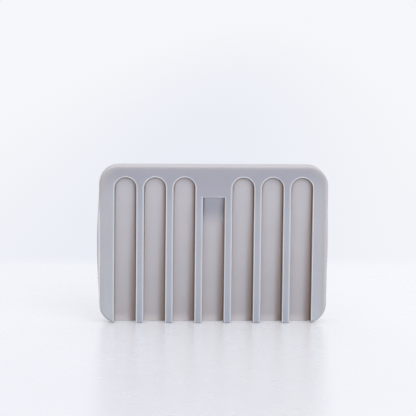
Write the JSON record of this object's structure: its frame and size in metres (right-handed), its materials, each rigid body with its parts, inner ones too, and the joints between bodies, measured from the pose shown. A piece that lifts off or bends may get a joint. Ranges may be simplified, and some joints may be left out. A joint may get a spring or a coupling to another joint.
{
  "type": "soap dish",
  "caption": "Self-draining rectangular soap dish in soft silicone: a ribbed frame over a tray whose sloped channels run out of one open edge.",
  "frame": {"origin": "middle of the footprint of the dish as it stands on its open drain edge, on the surface it stands on", "axes": "+X across the ribs, to the right when the soap face is looked at; +Z from the drain edge up to the closed head; -Y out of the soap face and +Y out of the underside, so a quarter turn about X lays the dish flat for use"},
  "size_m": [0.118, 0.013, 0.0804],
  "materials": {
    "cool_grey_silicone": "satin moulded silicone",
    "warm_grey_silicone": "satin moulded silicone"
  },
  "bodies": {
    "root": {"rib_frame": "cool_grey_silicone", "drain_tray": "warm_grey_silicone"}
  },
  "joints": []
}
